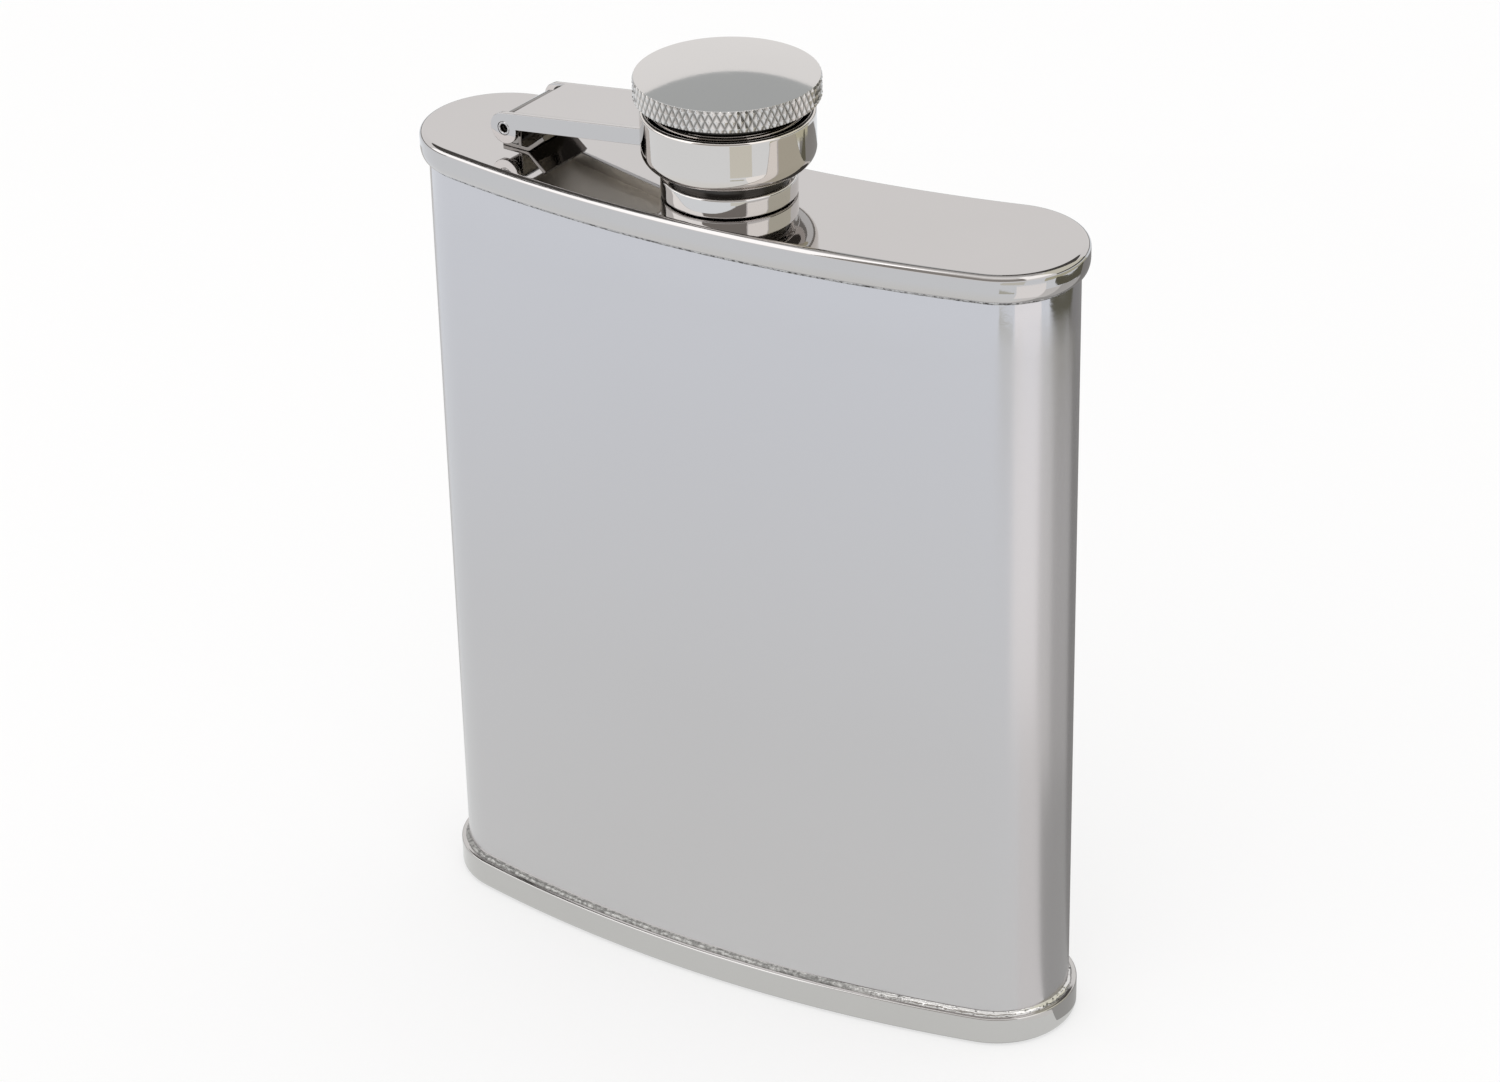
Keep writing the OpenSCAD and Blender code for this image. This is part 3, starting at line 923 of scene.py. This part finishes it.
# ---------------------------------------------------------------- studio, in metres
def paper_finish():
    """Pale paper that looks a little cooler in the polished steel, more so far from the flask; close to the
    flask its reflection is a painted shade, a little darker
    """
    material, tree, shader = new_material("floor_paper")
    shader.inputs["Roughness"].default_value = 0.9
    ray = put(tree, "ShaderNodeLightPath").outputs
    seen, mirrored = ray["Is Camera Ray"], ray["Is Glossy Ray"]
    tone = blend(tree, mirrored, (0.93, 0.93, 0.93), (0.90, 0.925, 0.955))
    tree.links.new(tone, shader.inputs["Base Color"])
    share = calc(tree, "ADD", calc(tree, "MULTIPLY", seen, 0.6), calc(tree, "MULTIPLY", mirrored, 0.85))
    far = put(tree, "ShaderNodeVectorMath", {0: object_place(tree)}, operation="LENGTH").outputs["Value"]
    # In reflections the paper takes a painted shade near the flask and a bluer tint further out.
    cool_painted_tint = blend(tree, ramp(tree, far, 0.04, 0.22), (0.90, 0.915, 0.90), (0.895, 0.935, 0.975))
    light = blend(tree, mirrored, (1.0, 1.0, 1.0), cool_painted_tint)
    glow = put(tree, "ShaderNodeEmission", {"Color": light, "Strength": 1.0})
    mixed = put(tree, "ShaderNodeMixShader", {0: share, 1: shader.outputs[0], 2: glow.outputs[0]})
    tree.links.new(mixed.outputs[0], tree.nodes["Material Output"].inputs["Surface"])
    return material


def place_sheet(name, rows, material, only_mirrored=False):
    """Adds a sheet to the studio from rows of points, which the camera needn't see"""
    bm = bmesh.new()
    grid = [[bm.verts.new(point) for point in row] for row in rows]
    for a, b in zip(grid, grid[1:]):
        for i in range(len(a) - 1):
            bm.faces.new((a[i], a[i + 1], b[i + 1], b[i]))
    mesh = bpy.data.meshes.new(name)
    bm.to_mesh(mesh)
    bm.free()
    mesh.materials.append(material)
    sheet = bpy.data.objects.new(name, mesh)
    bpy.context.scene.collection.objects.link(sheet)
    if only_mirrored:
        sheet.visible_camera = False
        sheet.visible_diffuse = False
        sheet.visible_shadow = False
        sheet.visible_transmission = False
        sheet.visible_volume_scatter = False


def make_floor():
    reach, drop = 3.0, -0.00005
    rows = [[(x, y, drop) for x in (-reach, reach)] for y in (-reach, reach)]
    place_sheet("floor", rows, paper_finish())


def reflected_sheet(name, rows, colour):
    """A glowing sheet that only reflections see"""
    material = bpy.data.materials.new(name)
    material.use_nodes = True
    tree = material.node_tree
    tree.nodes.clear()
    light = put(tree, "ShaderNodeEmission", {"Color": rgba(colour), "Strength": 1.0})
    put(tree, "ShaderNodeOutputMaterial", {0: light.outputs[0]})
    place_sheet(name, rows, material, only_mirrored=True)


def around(angle, distance, height):
    """A point at an angle in degrees from +X seen from above, a distance from the flask and a height"""
    turn = math.radians(angle)
    return (distance * math.cos(turn), distance * math.sin(turn), height)


def sky_panel(name, angles, climbs, colour, steps=16):
    """A curved panel far from the flask, between two angles round it and two elevations"""
    distance = 1.5
    rows = []
    for climb in spread(*climbs, steps):
        up = math.radians(climb)
        out, height = distance * math.cos(up), TOP_Z * MM + distance * math.sin(up)
        rows.append([around(angle, out, height) for angle in spread(*angles, steps)])
    reflected_sheet(name, rows, colour)


def floor_panel(name, angles, reach, colour, centre=0.0, height=0.0004, steps=16):
    """A flat panel just above the floor, between two angles and two distances from a place along X"""
    rows = []
    for far in reach:
        row = [around(angle, far, height) for angle in spread(*angles, steps)]
        rows.append([(x + centre, y, z) for x, y, z in row])
    reflected_sheet(name, rows, colour)


def make_cap_card():
    """A grey card close behind, whose bowed lower edge shows only in the cap's top"""
    turn, distance, low, high = math.radians(121), 0.1, 0.174, 0.262
    half, bow = 0.04, 26.7
    bottom, top = [], []
    for side in spread(-half, half, 24):
        x = distance * math.cos(turn) + side * math.sin(turn)
        y = distance * math.sin(turn) - side * math.cos(turn)
        bottom.append((x, y, low + bow * side ** 2))
        top.append((x, y, high))
    reflected_sheet("cap_card", [bottom, top], (0.525, 0.545, 0.55))


def make_dark_floor_strip(end_x):
    """A dark strip across the floor beyond the flask's right end, which only reflections see: a painted dark
    reflection
    """
    turn, height = math.radians(35), 0.0006
    rows = []
    for far in (0.206, 0.236):
        rows.append([(end_x + far * math.cos(turn) - side * math.sin(turn),
                      far * math.sin(turn) + side * math.cos(turn), height) for side in (-0.1, 0.125)])
    reflected_sheet("dark_floor_strip", rows, (0.14, 0.135, 0.10))


def make_panels():
    """Boxes and shades that give the steel its bands, as round a table in a dark studio"""
    end_x = SPINE_X * MM
    sky_panel("left_box", (-168, -106), (8, 60), (1.75, 1.75, 1.75))
    sky_panel("camera_shade", (-106, -32), (6, 60), (0.36, 0.34, 0.32))
    sky_panel("right_box", (-30, 6), (20, 60), (1.55, 1.53, 1.5))
    sky_panel("right_shade", (8, 62), (-3, 11), (0.13, 0.125, 0.105))
    sky_panel("right_wall", (8, 62), (11, 62), (0.86, 0.84, 0.72))
    sky_panel("dark_ceiling", (60, 215), (34, 63), (0.09, 0.085, 0.08))
    sky_panel("horizon_shade", (62, 215), (-3, 6), (0.30, 0.29, 0.28))
    sky_panel("top_shade", (-180, 180), (64, 90), (0.55, 0.54, 0.53), steps=24)
    make_cap_card()
    make_dark_floor_strip(end_x)
    floor_panel("end_half_shade", (-4, 20), (0.07, 0.205), (0.80, 0.79, 0.775), centre=end_x)
    floor_panel("end_shade", (20, 62), (0.07, 0.205), (0.56, 0.555, 0.545), centre=end_x)
    floor_panel("end_low_shade", (4, 62), (0.012, 0.07), (0.46, 0.46, 0.45), centre=end_x)
    floor_panel("back_shade", (50, 124), (0.012, 0.28), (0.29, 0.285, 0.28), centre=end_x, height=0.0003)
    floor_panel("end_glow", (-44, -4), (0.09, 0.235), (1.14, 1.12, 1.11), centre=end_x, height=0.0003)
    floor_panel("end_low_glow", (-30, 4), (0.014, 0.09), (0.90, 0.89, 0.88), centre=end_x)
    floor_panel("left_end_shade", (112, 152), (0.014, 0.25), (0.62, 0.61, 0.60), centre=-end_x)
    # A darker patch of floor that only reflections see: a painted dark reflection on the steel.
    floor_panel("front_floor_patch", (-58, -40), (0.217, 0.242), (0.60, 0.60, 0.53))
    floor_panel("front_floor_shade", (-58, -30), (0.27, 0.6), (0.78, 0.77, 0.70))
    floor_panel("right_floor_shade", (-6, 64), (0.279, 0.6), (0.58, 0.56, 0.43))


def make_lamp():
    """A weak square lamp high in front, which adds a soft shadow under the flask"""
    lamp = bpy.data.lights.new("overhead_box", "AREA")
    lamp.shape = "SQUARE"
    lamp.size = 1.2
    lamp.energy = 2.0
    spot, aim = Vector((0.2, -0.5, 1.3)), Vector((0, 0, 0.06))
    holder = bpy.data.objects.new("overhead_box", lamp)
    holder.location = spot
    holder.rotation_euler = (aim - spot).to_track_quat("-Z", "Y").to_euler()
    bpy.context.scene.collection.objects.link(holder)


def make_world():
    world = bpy.data.worlds.new("pale_tent")
    world.use_nodes = True
    back = world.node_tree.nodes["Background"]
    back.inputs["Color"].default_value = (1.0, 0.99, 0.985, 1.0)
    back.inputs["Strength"].default_value = 1.0
    bpy.context.scene.world = world


def make_camera():
    """A long lens from the front right and above, tipped a little"""
    yaw, pitch, roll = (math.radians(angle) for angle in (31.030, 29.376, -1.274))
    target = Vector((-0.5, SHIFT_Y, 61.0)) * MM
    distance = 586.64 * MM
    back = Vector((math.sin(yaw) * math.cos(pitch), -math.cos(yaw) * math.cos(pitch), math.sin(pitch)))
    level = Vector((math.cos(yaw), math.sin(yaw), 0.0))
    upright = back.cross(level)
    right = math.cos(roll) * level + math.sin(roll) * upright
    up = math.cos(roll) * upright - math.sin(roll) * level
    lens = bpy.data.cameras.new("camera")
    lens.sensor_width = 36.0
    lens.lens = 106.51
    lens.clip_start, lens.clip_end = 0.01, 50.0
    holder = bpy.data.objects.new("camera", lens)
    turn = Matrix((right, up, back)).transposed().to_4x4()
    holder.matrix_world = Matrix.Translation(target + back * distance) @ turn
    bpy.context.scene.collection.objects.link(holder)
    bpy.context.scene.camera = holder


make_floor()
make_panels()
make_world()
make_camera()
make_lamp()
bpy.context.scene.view_settings.view_transform = "Standard"
